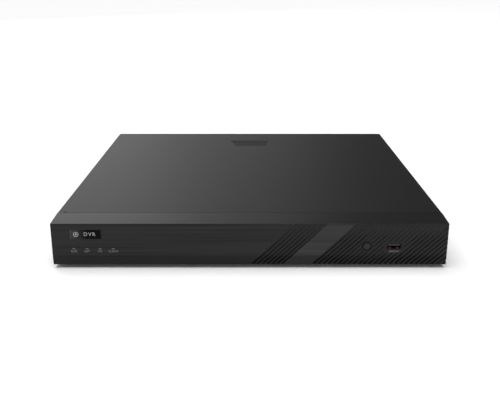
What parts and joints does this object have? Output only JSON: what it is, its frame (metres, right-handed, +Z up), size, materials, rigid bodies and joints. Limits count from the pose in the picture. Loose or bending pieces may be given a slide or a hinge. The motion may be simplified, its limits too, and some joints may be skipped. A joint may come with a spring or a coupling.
{
  "type": "digital video recorder",
  "caption": "Slim desktop security video recorder: folded steel case, lift-off cover, ribbed front bezel, internal disk, power supply and fan, and rear jacks.",
  "frame": {"origin": "centre of the bounding box at the bottom, on the surface that the feet stand on", "axes": "+X to the right seen from the front, +Y towards the rear jacks, +Z up"},
  "size_m": [0.3836, 0.3412, 0.048],
  "materials": {
    "coated_steel": "fine matt powder coat on folded steel sheet",
    "black_moulding": "dark moulding, brushed and ribbed on its face",
    "gloss_black": "gloss black plate",
    "light_guide": "clear to milky light guide",
    "rubber": "matt black rubber",
    "black_screw": "blackened steel",
    "zinc_steel": "bright zinc plating",
    "board": "solder-masked circuit board",
    "nickel": "nickel plating",
    "jack_plastic": "black engineering plastic",
    "terminal_green": "green engineering plastic",
    "aluminium": "plain extruded aluminium",
    "cast_aluminium": "die-cast aluminium",
    "chip": "moulded package",
    "transformer_tape": "yellow winding tape",
    "capacitor_sleeve": "shrink sleeve",
    "red_cable": "flat data cable",
    "black_cable": "black insulated lead",
    "grey_cable": "grey ribbon lead"
  },
  "bodies": {
    "case": {"alarm_terminal_block": "terminal_green", "audio_jack_block": "jack_plastic", "badge_plate": "gloss_black", "base_tray": "coated_steel", "battery_holder": "jack_plastic", "board_pillar_1": "zinc_steel", "board_pillar_2": "zinc_steel", "board_pillar_3": "zinc_steel", "board_pillar_4": "zinc_steel", "button_board": "board", "button_board_lead": "grey_cable", "clock_battery": "nickel", "disk_board": "board", "disk_data_lead": "red_cable", "disk_frame": "cast_aluminium", "disk_lid": "zinc_steel", "disk_power_lead": "black_cable", "display_port": "nickel", "fan_frame": "jack_plastic", "fan_lead": "black_cable", "fan_screw_1": "black_screw", "fan_screw_2": "black_screw", "foot_1": "rubber", "foot_2": "rubber", "foot_3": "rubber", "foot_4": "rubber", "front_bezel": "black_moulding", "ground_screw": "zinc_steel", "heatsink": "aluminium", "led_board": "board", "led_board_lead": "grey_cable", "light_guide": "light_guide", "main_board": "board", "mains_inlet": "jack_plastic", "mains_supply_lead": "black_cable", "mains_switch_lead": "black_cable", "monitor_port": "nickel", "network_port": "nickel", "power_switch_body": "jack_plastic", "processor": "chip", "rear_cover_screw_1": "black_screw", "rear_cover_screw_2": "black_screw", "rear_usb_ports": "nickel", "rocker_frame": "jack_plastic", "side_cover_screw_left": "black_screw", "side_cover_screw_right": "black_screw", "supply_board": "board", "supply_capacitor": "capacitor_sleeve", "supply_heatsink": "aluminium", "supply_output_lead": "black_cable", "supply_transformer": "transformer_tape", "usb_port_shell": "nickel", "usb_port_tongue": "jack_plastic", "video_jack_block_1": "nickel", "video_jack_block_2": "nickel"},
    "cover": {"top_cover": "coated_steel"},
    "button": {"power_button": "black_moulding"},
    "switch_plunger": {"power_switch_plunger": "jack_plastic"},
    "rocker": {"rocker_lever": "jack_plastic"},
    "fan_wheel": {"fan_rotor": "jack_plastic"}
  },
  "joints": [
    {"name": "cover_lift", "type": "slide", "parent": "case", "child": "cover", "axis": [0, 0, 1], "range_m": [0, 0.12]},
    {"name": "power_button_press", "type": "slide", "parent": "case", "child": "button", "axis": [0, 1, 0], "range_m": [0, 0.0007], "stiffness_N_per_m": 400, "springref_m": -0.0005},
    {"name": "switch_plunger_press", "type": "slide", "parent": "case", "child": "switch_plunger", "axis": [0, 1, 0], "range_m": [0, 0.00025]},
    {"name": "mains_rocker_tilt", "type": "hinge", "parent": "case", "child": "rocker", "pos_m": [0.128, 0.157, 0.024], "axis": [1, 0, 0], "range_deg": [-20, 0]},
    {"name": "fan_spin", "type": "hinge", "parent": "case", "child": "fan_wheel", "pos_m": [0.092, 0.1495, 0.0256], "axis": [0, 1, 0], "continuous": true}
  ],
  "couplings": [
    {"joint": "switch_plunger_press", "follows": "power_button_press", "ratio": 0.3}
  ]
}
